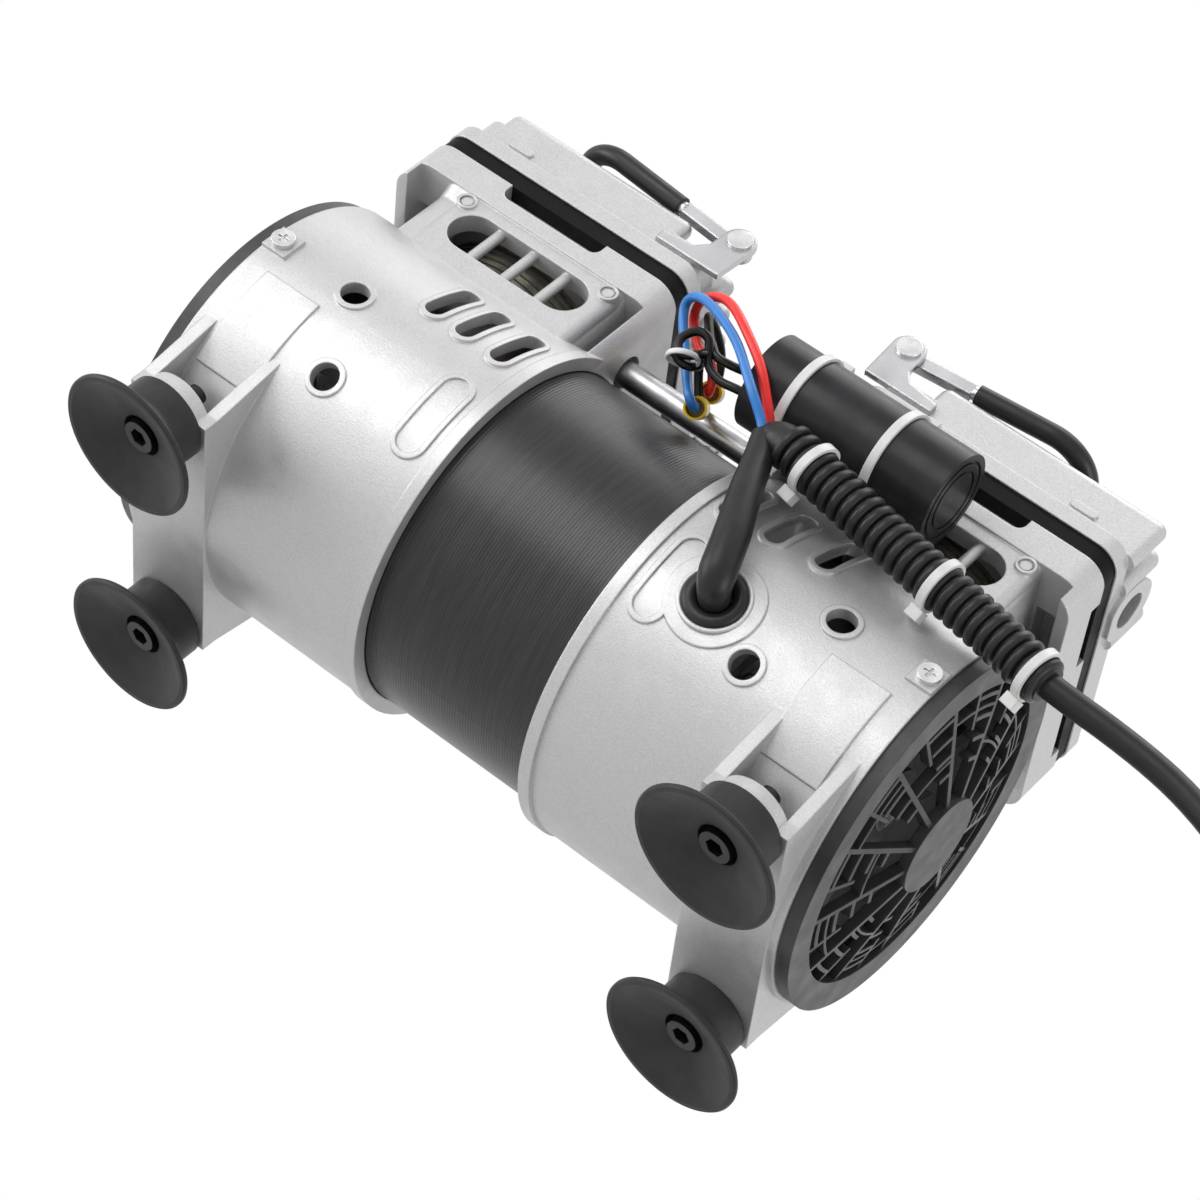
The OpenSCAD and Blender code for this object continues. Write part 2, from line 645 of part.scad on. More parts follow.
// Finned head with two chambers and a port boss; the fins of its two halves are set off along the motor axis
module head_cover(side) color("silver") placed() on_side(side) difference() {
    union() {
        rounded_slab(head_mid, cover_z, head_len, head_w, rim_h, corner_r);
        hull() {
            rounded_slab(head_mid, cover_z + rim_h - eps, head_len, head_w, eps, corner_r);
            rounded_slab(head_mid, cover_z + rim_h + 2, head_len - 6, 2 * wall_half, eps, corner_r - 3);
        }
        rounded_slab(head_mid, cover_z + rim_h + 2, head_len - 6, 2 * wall_half, cover_h - rim_h - 2, corner_r - 3);
        for (k = [0:fin_count - 1]) {
            y = k * fin_pitch - fin_edge;
            port_half = y * side < 0;
            x0 = k == 0 || k == fin_count - 1 ? pivot_x + 15 : head_in + (port_half ? 10 : -1);
            fin(x0, port_half ? head_out + 1.8 : head_out - 7, y);
        }
        intersection() {
            x_cylinder(head_out - port_len - 3, head_out + 2, port_boss_r, -port_y * side, port_z);
            translate([0, -60, cover_z + 1]) cube([300, 120, 60]);
        }
        for (s = [-1, 1]) translate([head_mid + 27, s * (wall_half - 1), cover_z + rim_h + 5]) rotate([-90 * s, 0, 0])
            linear_extrude(1.9) obround(9, 2.8);
    }
    translate([head_mid, 0, cover_z - 1]) linear_extrude(cover_h - 3) chamber_plan();
    x_cylinder(head_out + 2 - port_len, head_out + 3, port_r, -port_y * side, port_z);
    for (p = bolt_spots) translate([p[0], p[1], deck_z]) {
        cylinder(h = 60, r = 2.6);
        translate([0, 0, roof_z - deck_z - 5]) cylinder(h = 30, r = 4.6);
    }
}

module left_head() { head_cover(-1); }
module right_head() { head_cover(1); }

module head_bolts() color("#303032") placed() for (s = [-1, 1], p = bolt_spots) on_side(s)
    translate([p[0], p[1], 0]) difference() {
        union() {
            translate([0, 0, deck_z - 7]) cylinder(h = roof_z - 5 - deck_z + 7, r = 2.5);
            translate([0, 0, roof_z - 5]) cylinder(h = 4.8, r = 4.25);
        }
        translate([0, 0, roof_z - 2.6]) cylinder(h = 5, r = 2.4, $fn = 6);
    }

module transfer_tube() color("gainsboro") placed()
    x_ring(-block_in - 2.5, block_in + 2.5, tube_r, tube_r - 1, tube_y, tube_z);

module tube_seals() color("#202022") placed() for (s = [-1, 1]) on_side(s) difference() {
    x_cylinder(block_in - 4, block_in, tube_seal_r, tube_y, tube_z);
    x_cylinder(block_in - 5, block_in + 1, tube_r + run_gap, tube_y, tube_z);
}

// Rubber suction foot
module foot(sx, sy) color("#2c2c2e") placed() translate([sx * foot_x, sy * foot_y, 0]) rotate_extrude($fn = 64) {
    polygon(concat(
        [[foot_lip_r - 1.8, 0], [foot_lip_r - 0.5, 0], [foot_lip_r, 0.5], [foot_lip_r, 1.3], [foot_lip_r - 0.5, 1.9]],
        [for (a = [245:-13:180]) [foot_neck_r + 4 + 4 * cos(a), foot_h - 8 + 4 * sin(a)]],
        [[foot_neck_r, foot_h - 0.4], [foot_neck_r - 0.4, foot_h], [foot_screw_r + 0.2, foot_h], [foot_screw_r + 0.2, 10.5],
         [6.4, 10.5], [6.4, 6.2]]));
}

module left_front_foot() { foot(-1, -1); }
module left_rear_foot() { foot(-1, 1); }
module right_front_foot() { foot(1, -1); }
module right_rear_foot() { foot(1, 1); }

module foot_screws() color("#1c1c1e") placed() for (sx = [-1, 1], sy = [-1, 1])
    translate([sx * foot_x, sy * foot_y, 0]) difference() {
        union() {
            translate([0, 0, 4.9]) cylinder(h = 5.6, r = 5);
            translate([0, 0, 10.5]) cylinder(h = foot_screw_len, r = foot_screw_r);
        }
        translate([0, 0, 4]) cylinder(h = 4, r = 2.9, $fn = 6);
    }

module shaft() color("gainsboro") placed() {
    x_cylinder(-bearing_x - bearing_w - 8, bearing_x + bearing_w + 8, shaft_r);
    for (s = [-1, 1]) on_side(s) x_cylinder(bearing_x + bearing_w + 8 - eps, fan_x + fan_w + 1, shaft_end_r);
}

module rotor_core() color("#6e6e72") placed() difference() {
    x_cylinder(-stator_half, stator_half, rotor_r);
    x_cylinder(-stator_half - 1, stator_half + 1, shaft_r + 0.02);
}

// Axial fan with flat inclined blades
module fan(side) color("#26272a") placed() on_side(side) difference() {
    union() {
        x_cylinder(fan_x, fan_x + fan_w, 13);
        for (i = [0:fan_blades - 1]) translate([fan_x + fan_w / 2, 0, axis_z])
            rotate([i * 360 / fan_blades, 0, 0]) rotate([0, 0, 38])
                translate([-8.5 * 0.62, 12, -1]) rotate([0, 0, -38]) translate([0, 0, 0]) blade();
    }
    x_cylinder(fan_x - 1, fan_x + fan_w + 1, shaft_end_r + 0.02);
}

module blade() {
    translate([-1.5, -1, -9]) rotate([0, 0, 0]) multmatrix([[1, 0, 0.5, 4], [0, 1, 0, 0], [0, 0, 1, 1]])
        cube([1.8, fan_r - 13.5, 17]);
}

module left_fan() { fan(-1); }
module right_fan() { fan(1); }

// Eccentric journal with a counterweight; the left crank stands half a turn from the right one
module eccentric(side) color("#9a9a9e") placed() on_side(side) difference() {
    up = side > 0 ? 1 : -1;
    union() {
        x_cylinder(rod_x0 - 2, rod_x0 + rod_t + 2, journal_r, 0, axis_z + up * crank_e);
        x_cylinder(rod_x0 + rod_t + 2, rod_x0 + rod_t + 4, journal_r + 1.5, 0, axis_z + up * crank_e);
        intersection() {
            x_cylinder(rod_x0 + rod_t + 4, rod_x0 + rod_t + 13, 30);
            translate([0, -30, up > 0 ? axis_z - 40 : axis_z - 8]) cube([200, 60, 48]);
        }
    }
    x_cylinder(rod_x0 - 3, rod_x0 + rod_t + 20, shaft_end_r + 0.02);
}

module left_eccentric() { eccentric(-1); }
module right_eccentric() { eccentric(1); }

module rod_bearing(side) color("silver") placed() on_side(side)
    x_ring(rod_x0, rod_x0 + rod_t, big_end_r, journal_r + 0.02, 0, axis_z + (side > 0 ? 1 : -1) * crank_e);

module left_rod_bearing() { rod_bearing(-1); }
module right_rod_bearing() { rod_bearing(1); }

// Height of a piston above the middle of its stroke
lift = function(side) side > 0 ? crank_e : -crank_e;

// Connecting rod in one piece with its piston plate
module piston(side) color("#b4b4b8") placed() on_side(side) translate([0, 0, lift(side)]) difference() {
    union() {
        x_cylinder(rod_x0, rod_x0 + rod_t, eye_r + eye_wall);
        translate([rod_x0 + 1, 0, 0]) rotate([90, 0, 90]) linear_extrude(rod_t - 2) polygon([
            [-15, axis_z + 20], [-8, crown_z - crank_e], [8, crown_z - crank_e], [15, axis_z + 20]]);
        translate([head_mid, 0, crown_z - crank_e - 2]) cylinder(h = 2 + eps, r = 16);
        translate([head_mid, 0, crown_z - crank_e]) cylinder(h = crown_t, r = plate_r);
    }
    x_cylinder(rod_x0 - 1, rod_x0 + rod_t + 1, eye_r);
}

module left_piston() { piston(-1); }
module right_piston() { piston(1); }

module piston_seal(side) color("#6b3f2a") placed() on_side(side)
    translate([head_mid, 0, crown_z - crank_e + crown_t + lift(side)]) difference() {
        cylinder(h = seal_lip, r = bore_r - seal_gap, $fn = 96);
        translate([0, 0, seal_t]) cylinder(h = seal_lip, r = bore_r - 0.8, $fn = 96);
        translate([0, 0, -1]) cylinder(h = 5, r = 14);
    }

module left_piston_seal() { piston_seal(-1); }
module right_piston_seal() { piston_seal(1); }

module piston_clamp(side) color("#a8a8ac") placed() on_side(side)
    translate([head_mid, 0, crown_z - crank_e + crown_t + seal_t + lift(side)]) difference() {
        union() {
            cylinder(h = clamp_t, r = plate_r + 0.4);
            translate([0, 0, -seal_t]) cylinder(h = seal_t + eps, r = 13.9);
        }
        for (q = [0, 90]) rotate(q) translate([-5, -1, clamp_t - 1.2]) cube([10, 2, 3]);
    }

module left_piston_clamp() { piston_clamp(-1); }
module right_piston_clamp() { piston_clamp(1); }

// Stamped handle bracket: two ears, each with a leg along the head's wall
module handle_bracket(side) color("gainsboro") placed() on_side(side) for (m = [0, 1]) mirror([0, m, 0]) difference() {
    leg_z = cover_z + rim_h + 3.5;
    translate([0, -ear_y + ear_t, 0]) rotate([90, 0, 0]) linear_extrude(ear_t) union() {
        translate([pivot_x, pivot_z]) circle(r = 5.2);
        polygon([[pivot_x - 5.2, pivot_z], [pivot_x - 4, leg_z], [pivot_x + 19, leg_z], [pivot_x + 19, leg_z + 3.4],
            [pivot_x + 8.5, leg_z + 5], [pivot_x + 5.6, leg_z + 8.5], [pivot_x + 5.2, pivot_z]]);
    }
    y_cylinder(-ear_y - 1, -ear_y + ear_t + 1, pin_r + run_gap, pivot_x, pivot_z);
}

module left_handle_bracket() { handle_bracket(-1); }
module right_handle_bracket() { handle_bracket(1); }

module handle_pins() color("silver") placed() for (s = [-1, 1]) on_side(s) for (m = [0, 1]) mirror([0, m, 0]) {
    y_cylinder(-ear_y - 0.9, -ear_y, 3.9, pivot_x, pivot_z);
    y_cylinder(-ear_y - eps, -arm_y + arm_t / 2 + 0.8, pin_r, pivot_x, pivot_z);
}

// The children lifted about the handle pivots
module tilted() {
    translate([pivot_x, 0, pivot_z]) rotate([0, -bail_tilt, 0]) children();
}

// One side of the U of round bar, from x0 to the middle of the far end; x counts from the pivots
module bail_half(x0, r) {
    x_cylinder(x0, bail_len - bend_r, r, -arm_y, 0);
    translate([bail_len - bend_r, -arm_y + bend_r, 0]) rotate([0, 0, -90])
        rotate_extrude(angle = 90) translate([bend_r, 0]) circle(r = r);
}

module bail(side) color("gainsboro") placed() on_side(side) tilted() {
    for (m = [0, 1]) mirror([0, m, 0]) {
        bail_half(arm_len, bail_r);
        translate([0, -arm_y + arm_t / 2, 0]) rotate([90, 0, 0]) linear_extrude(arm_t) difference() {
            union() {
                circle(r = 4.2);
                translate([0, -arm_h / 2]) square([arm_len, arm_h]);
            }
            circle(r = pin_r + run_gap);
        }
    }
    y_cylinder(-arm_y + bend_r, arm_y - bend_r, bail_r, bail_len, 0);
}

module left_bail() { bail(-1); }
module right_bail() { bail(1); }

module grip(side) color("#222224") placed() on_side(side) tilted() {
    hole = bail_r + 0.02;
    for (m = [0, 1]) mirror([0, m, 0]) {
        x_ring(arm_len + 1.5, bail_len - bend_r, grip_r, hole, -arm_y, 0);
        translate([bail_len - bend_r, -arm_y + bend_r, 0]) rotate([0, 0, -90])
            rotate_extrude(angle = 90) translate([bend_r, 0]) difference() {
                circle(r = grip_r);
                circle(r = hole);
            }
    }
    difference() {
        y_cylinder(-arm_y + bend_r, arm_y - bend_r, grip_r, bail_len, 0);
        y_cylinder(-arm_y + bend_r - 1, arm_y - bend_r + 1, hole, bail_len, 0);
    }
}

module left_grip() { grip(-1); }
module right_grip() { grip(1); }

module capacitor() color("#2a2a2c") placed() difference() {
    x_cylinder(cap_x, cap_x + cap_len, cap_r, cap_y, cap_z);
    for (r = [cap_r - 2, cap_r - 5]) x_ring(cap_x + cap_len - 0.8, cap_x + cap_len + 1, r, r - 1, cap_y, cap_z);
}

module capacitor_ties() color("white") placed() for (x = [cap_x + 12.3, cap_x + 42.3]) {
    difference() {
        x_cylinder(x, x + tie_w, cap_r + tie_t, cap_y, cap_z);
        x_cylinder(x - 1, x + tie_w + 1, cap_r + run_gap, cap_y, cap_z);
    }
    translate([x - 0.8, cap_y - 2.2, cap_z + cap_r + tie_t - 0.4]) cube([tie_w + 1.6, 4.4, 4]);
}

module grommet() color("#1f1f21") placed() on_wall(grommet_x, grommet_angle) difference() {
    union() {
        translate([0, 0, barrel_in_r - 2]) cylinder(h = barrel_wall + 4, r = 10);
        translate([0, 0, barrel_r + 0.75]) cylinder(h = 2.4, r = 12);
    }
    translate([0, 0, 40]) cylinder(h = 40, r = 5.2);
}

module lead_sleeve() color("#1a1a1c") placed() swept_tube(smooth(sleeve_path, 2),
    [for (i = [0:2 * len(sleeve_path) - 2]) (sleeve_radii[floor(i / 2)] + sleeve_radii[ceil(i / 2)]) / 2], 12);

module blue_lead() color("#2f7fd0") placed() even_tube(smooth(from_deck(blue_steps), 3), 1.4, 8);
module red_lead() color("#f03a30") placed() even_tube(smooth(from_deck(red_steps), 3), 1.4, 8);

module black_leads() color("#151516") placed() {
    even_tube(smooth(from_deck(black_steps), 3), 1.3, 8);
    even_tube(smooth(from_deck(black_steps_2), 3), 1.3, 8);
}

// Insulated end connectors of the motor leads, mouths to the front and down
module terminals() color("#e8c81e") placed() for (p = from_deck(terminal_steps)) translate(p) rotate(terminal_turn)
    translate([0, 0, -terminal_len]) difference() {
        cylinder(h = terminal_len, r = terminal_r);
        translate([0, 0, 3]) cylinder(h = terminal_len, r = terminal_r - 0.7);
    }

conduit_points = smooth(from_deck(conduit_steps), 6);

module conduit() color("#2b2b2d") placed() swept_tube(conduit_points,
    [for (i = [0:len(conduit_points) - 1]) i % 2 == 0 ? conduit_r : conduit_r - 1.1], 12);

// Cable ties round the conduit, each square to the run of the conduit
module conduit_ties() color("white") placed() for (f = tie_spots) {
    i = round(f * (len(conduit_points) - 1));
    p = conduit_points[i];
    d = unit(conduit_points[min(i + 1, len(conduit_points) - 1)] - conduit_points[i - 1]);
    translate(p) rotate([0, acos(d[2]), atan2(d[1], d[0])]) {
        difference() {
            translate([0, 0, -tie_w / 2]) cylinder(h = tie_w, r = conduit_r + 1.2);
            translate([0, 0, -3]) cylinder(h = 6, r = conduit_r + 0.15);
        }
        rotate(tie_head_turn) translate([conduit_r + 0.9, -2.2, -2.2]) cube([3.4, 4.4, 4.4]);
    }
}

module mains_cord() color("#1b1b1d") placed() even_tube(smooth(cord_path, 2), cord_r, 10);

// Outer shape of the stored turns, two by two
module cord_coil() color("#1b1b1d") placed() translate([coil_x, coil_y, 0.02]) rotate_extrude($fn = 64)
    translate([coil_mid_r, 0]) polygon([[-5.5, 0], [5.5, 0], [7.5, 2], [7.5, 13], [5.5, 15], [-5.5, 15],
        [-7.5, 13], [-7.5, 2]]);

// Tie that holds the stored turns together
module coil_tie() color("white") placed() translate([coil_x, coil_y, 0]) rotate(35) difference() {
    translate([coil_mid_r - 8.9, -2.2, 0.02]) cube([17.8, 4.4, 16.4]);
    translate([coil_mid_r - 7.5, -3, 1]) cube([15, 6, 14]);
}

// Mains plug beside the coil, with the last stretch of cord
module plug() color("#1b1b1d") placed() {
    translate([plug_x, plug_y - 13, 0.02]) cube([30, 26, 16]);
    even_tube(smooth(tail_path, 2), cord_r, 10);
    for (s = [-1, 1]) x_cylinder(plug_x - 17, plug_x + 1, 2, plug_y + s * 6.4, 8);
}

left_housing();
right_housing();
stator_core();
stator_windings();
motor_bearings();
left_grille();
right_grille();
grille_screws();
left_cylinder();
right_cylinder();
left_valve_plate();
right_valve_plate();
left_gasket();
right_gasket();
reed_valves();
left_head();
right_head();
head_bolts();
transfer_tube();
tube_seals();
left_front_foot();
left_rear_foot();
right_front_foot();
right_rear_foot();
foot_screws();
shaft();
rotor_core();
left_fan();
right_fan();
left_eccentric();
right_eccentric();
left_rod_bearing();
right_rod_bearing();
left_piston();
right_piston();
left_piston_seal();
right_piston_seal();
left_piston_clamp();
right_piston_clamp();
left_handle_bracket();
right_handle_bracket();
handle_pins();
left_bail();
right_bail();
left_grip();
right_grip();
capacitor();
capacitor_ties();
grommet();
lead_sleeve();
blue_lead();
red_lead();
black_leads();
terminals();
conduit();
conduit_ties();
mains_cord();
cord_coil();
coil_tie();
plug();
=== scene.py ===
import json
import math

import bmesh
import bpy
from mathutils import Matrix, Vector


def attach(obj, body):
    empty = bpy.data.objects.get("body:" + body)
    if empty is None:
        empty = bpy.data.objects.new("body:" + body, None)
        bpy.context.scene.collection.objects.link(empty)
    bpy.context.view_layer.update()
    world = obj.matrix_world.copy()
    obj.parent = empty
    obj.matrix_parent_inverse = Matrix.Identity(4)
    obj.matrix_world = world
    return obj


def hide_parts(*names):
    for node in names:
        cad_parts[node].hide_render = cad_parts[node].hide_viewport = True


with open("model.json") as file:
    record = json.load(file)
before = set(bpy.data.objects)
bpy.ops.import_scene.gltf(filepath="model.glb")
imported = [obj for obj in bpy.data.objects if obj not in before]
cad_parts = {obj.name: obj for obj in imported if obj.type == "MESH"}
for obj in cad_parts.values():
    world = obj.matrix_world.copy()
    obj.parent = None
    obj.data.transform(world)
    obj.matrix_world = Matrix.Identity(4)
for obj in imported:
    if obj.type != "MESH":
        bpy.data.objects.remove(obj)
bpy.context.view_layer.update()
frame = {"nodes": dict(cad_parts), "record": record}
BODY = "pump_frame"
MM = 0.001
# Points below are taken from the motor's middle; this is the part's own origin seen from there
MIDDLE = Vector((6.3, -6.2, 0))
# Sizes of the solids that the pieces below sit on, in millimetres
MOTOR_AXIS_HEIGHT = 75.5
BARREL_R = 58.5

# The photograph's camera, solved against the foot spacing, in metres and in the part's frame
CAMERA_PLACE = Vector((0.40226, -0.80782, -0.50917))
CAMERA_RIGHT = Vector((0.76368, -0.08494, 0.63999))
CAMERA_LOOK = Vector((-0.37177, 0.75259, 0.5435))
CAMERA_LENS = 115.366
CAMERA_SENSOR = 36


# Camera at the photograph's place
def add_camera():
    data = bpy.data.cameras.new("camera")
    data.sensor_width = CAMERA_SENSOR
    data.lens = CAMERA_LENS
    data.clip_start = 0.05
    data.clip_end = 60
    camera = bpy.data.objects.new("camera", data)
    right = CAMERA_RIGHT.normalized()
    look = CAMERA_LOOK.normalized()
    up = right.cross(look).normalized()
    turn = Matrix((right, up, -look)).transposed()
    camera.matrix_world = Matrix.Translation(CAMERA_PLACE) @ turn.to_4x4()
    bpy.context.collection.objects.link(camera)
    bpy.context.scene.camera = camera


add_camera()


# Curves through points, as in the solids
def spline(points, steps):
    """Catmull-Rom curve through points."""
    p = [Vector(q) for q in points]
    out = []
    for i in range(len(p) - 1):
        a, b, c, d = p[max(i - 1, 0)], p[i], p[i + 1], p[min(i + 2, len(p) - 1)]
        for s in range(steps):
            t = s / steps
            out.append(0.5 * ((2 * b) + (c - a) * t + (2 * a - 5 * b + 4 * c - d) * t * t
                              + (3 * b - a - 3 * c + d) * t ** 3))
    out.append(p[-1])
    return out


def link(obj, body, material=None):
    """Puts a piece in the scene, on its body and material."""
    if obj.name not in bpy.context.collection.objects:
        bpy.context.collection.objects.link(obj)
    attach(obj, body)
    if material:
        obj.data.materials.clear()
        obj.data.materials.append(material)
    return obj


def mesh_object(name, bm, smooth_angle=None):
    data = bpy.data.meshes.new(name)
    bmesh.ops.recalc_face_normals(bm, faces=bm.faces)
    bm.to_mesh(data)
    bm.free()
    obj = bpy.data.objects.new(name, data)
    bpy.context.collection.objects.link(obj)
    if smooth_angle is not None:
        data.shade_smooth()
        data.set_sharp_from_angle(angle=math.radians(smooth_angle))
    return obj


def frames_along(points):
    """Tangent and two normals at each point of a line, without twist."""
    n = len(points)
    tangents = [(points[min(i + 1, n - 1)] - points[max(i - 1, 0)]).normalized() for i in range(n)]
    first = Vector((0, 0, 1)) if abs(tangents[0].z) < 0.9 else Vector((1, 0, 0))
    normal = (first - tangents[0] * first.dot(tangents[0])).normalized()
    out = []
    for t in tangents:
        normal = (normal - t * normal.dot(t)).normalized()
        out.append((t, normal, t.cross(normal)))
    return out


def tube(bm, points, radii, sides=20):
    """Adds a tube along points in millimetres, one radius for each point."""
    rings = []
    for p, r, (t, u, v) in zip(points, radii, frames_along(points)):
        ring = []
        for k in range(sides):
            a = 2 * math.pi * k / sides
            ring.append(bm.verts.new((p - MIDDLE + r * (math.cos(a) * u + math.sin(a) * v)) * MM))
        rings.append(ring)
    for a, b in zip(rings, rings[1:]):
        for k in range(sides):
            n = (k + 1) % sides
            bm.faces.new((a[k], a[n], b[n], b[k]))
    bm.faces.new(list(reversed(rings[0])))
    bm.faces.new(rings[-1])


# Routes of the cord, conduit and leads, as in the solids
CORD_R = 3.75
CORD_PATH = [
    (137, -63.3, 92), (148, -63.2, 91.2), (160, -63.2, 90.6), (173, -63.1, 89.4),
    (185, -63, 87.2), (197, -62.9, 83.4), (208, -62.7, 78.2), (218, -62.4, 71.4),
    (227, -62, 63.2), (235, -61.6, 54), (242.5, -61.1, 44.2), (250, -60.5, 34.2),
    (258, -59.7, 24.8), (267, -58.7, 16.4), (277, -57.4, 9.6), (288, -56, 5.4),
    (299, -54.5, 3.9), (307.5, -53.4, 3.8), (315.4, -52.3, 3.8),
]
COIL = Vector((309, -4, 0))
COIL_R = 45
COIL_GAP = 0.05
COIL_LOW = 3.8
COIL_HIGH = 11.35
COIL_START = -66
COIL_END = 1162
COIL_STEP = 12
# Angles in degrees over which the cord moves in, up to the second layer, and out again
COIL_MOVES_IN = (205, 262)
COIL_MOVES_UP = (498, 560)
COIL_MOVES_OUT = (860, 920)
TAIL_PATH = [(298, 44.75, 11.3), (287, 44.75, 10.6), (276, 44.75, 9.2), (266, 44.75, 8.1)]
PLUG_Y = 44.75
PLUG_BODY_Z = 8.02
PLUG_PIN_Z = 8
PIN_SPREAD = 6.4
PLUG_SIDES = 40
PLUG_SQUARENESS = 0.55
# Plug body from the pins back to the cord: place along X, half width, half height
PLUG_SECTIONS = [
    (238, 12.2, 7.4), (240, 12.9, 7.9), (252, 12.9, 7.9), (258, 11.4, 7.7), (263, 8.4, 6.9), (268, 6.2, 6.2),
]
PIN_XS = (239, 238, 223, 221.6, 221)
PIN_RADII = (2, 2, 2, 1.6, 0.8)

CONDUIT_PATH = [
    (41.5, -69.2, 106.3), (46.2, -69, 105.6), (55.3, -68.5, 103.8), (66, -68, 102.2),
    (77.7, -67, 100.5), (94.6, -66, 98.1), (110.9, -65, 96.1), (125.2, -64, 94.2),
    (133, -63.5, 92.8), (140, -63.2, 91.6),
]
CONDUIT_R = 7
CONDUIT_RINGS = 27
CONDUIT_GROOVE = 1.7
LEAD_R = 1.4
BLACK_LEAD_R = 1.3
SLEEVE_PATH = [
    (56, -51.4, 60.8), (56, -60.3, 58.2), (54.5, -65, 61), (50, -67, 72), (43.6, -67.5, 85.5),
    (38.6, -67, 97), (34.4, -66.5, 106.5),
]
SLEEVE_RADII = [4.3, 4.6, 5.3, 5.2, 4.7, 4.3, 4.2]
TAPE_PATH = [
    (34.6, -66.5, 105.2), (36.4, -67.4, 106.9), (39.4, -68.7, 106.7), (42.5, -69.1, 106.2),
]
TAPE_RADII = [3.9, 4.6, 5.3, 5.8]
BLUE_PATH = [
    (34.8, -67.9, 104.5), (31, -70, 107.8), (22.9, -74, 112.6), (11, -74, 122.1),
    (-0.3, -71, 129.7), (-10.8, -66, 136.2), (-16.8, -61, 139), (-18.4, -57, 138.1),
    (-15.7, -54, 134.4), (-10.2, -52, 128.8), (-3.7, -50.5, 121.9), (1, -50, 117.2),
    (3, -47, 117.4), (2.2, -44.4, 119.6),
]
RED_PATH = [
    (34.8, -65.1, 104.8), (32.6, -66, 110.4), (28.1, -70, 114.2), (20.4, -74.5, 120),
    (9.6, -75, 127.3), (0.2, -72, 134.3), (-7.4, -67, 139.3), (-13, -62, 140.9),
    (-15.8, -57, 140.7), (-15.4, -52, 139.2), (-9.7, -48.5, 135.1), (-4.5, -48.2, 133.7),
    (-1.3, -44.2, 131.3), (-1, -40.8, 129.9), (-2.6, -37.2, 133.2),
]
BLACK_PATHS = [
    [
        (18.5, -57, 132), (12, -57.5, 130), (6.3, -59, 127.3), (1.6, -59.5, 126.8),
        (-3, -60, 129.8), (-7.6, -60.5, 130), (-9.4, -60, 125.6), (-7.8, -59, 120.4),
        (-3.7, -57.5, 119.6), (-1.3, -56, 123.4), (-3.6, -55, 129), (-6, -51, 131),
        (-5, -46, 129.5), (-2.5, -42, 127), (-0.6, -39.6, 125.2),
    ],
    [
        (18.5, -57, 124), (12.4, -57.5, 122.5), (6.5, -57.2, 122), (1.4, -58.5, 123.8),
        (-2.4, -62.4, 128), (-6.4, -63, 127.4), (-8.2, -62.2, 122.6), (-5.2, -61.2, 119.2),
        (-1, -61.4, 122.2), (-1.6, -58.5, 128.4), (-5, -55.5, 133), (-9.5, -55.5, 138),
        (-12, -55, 141.4), (-10.4, -49, 143.6), (-8, -42, 144), (-6.4, -36, 142.6),
        (-5.6, -32.4, 140.2),
    ],
]
LEAD_TIE = ((-4.4, -59.6, 119.6), 4.6)


def ease(a, b, x):
    """0 before a, 1 after b, smooth between."""
    t = min(max((x - a) / (b - a), 0), 1)
    return t * t * (3 - 2 * t)


def coil_points():
    """About 3.4 turns: outer and inner on the floor, then inner and outer on top of them."""
    out = []
    inner = COIL_R - CORD_R - COIL_GAP
    outer = COIL_R + CORD_R
    for angle in range(COIL_START, COIL_END + 1, COIL_STEP):
        r = outer + (inner - outer) * ease(*COIL_MOVES_IN, angle)
        r += (outer - inner) * ease(*COIL_MOVES_OUT, angle)
        z = COIL_LOW + (COIL_HIGH - COIL_LOW) * ease(*COIL_MOVES_UP, angle)
        a = math.radians(angle)
        out.append((COIL.x + r * math.cos(a), COIL.y + r * math.sin(a), z))
    return out


def add_cord():
    line = spline(CORD_PATH + coil_points() + TAIL_PATH, 3)
    bm = bmesh.new()
    tube(bm, line, [CORD_R] * len(line), 24)
    length = sum((b - a).length for a, b in zip(line, line[1:])) * MM
    route = [list((p - MIDDLE) * MM) for p in line]
    return mesh_object("mains_cord_run", bm, 60), length, route


cord_obj, cord_length, cord_line = add_cord()
link(cord_obj, BODY)
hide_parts("mains_cord", "cord_coil")

NODES = frame["nodes"]
SLOT_OF = {s["node"]: s["material_slot"] for s in frame["record"]["subparts"]}


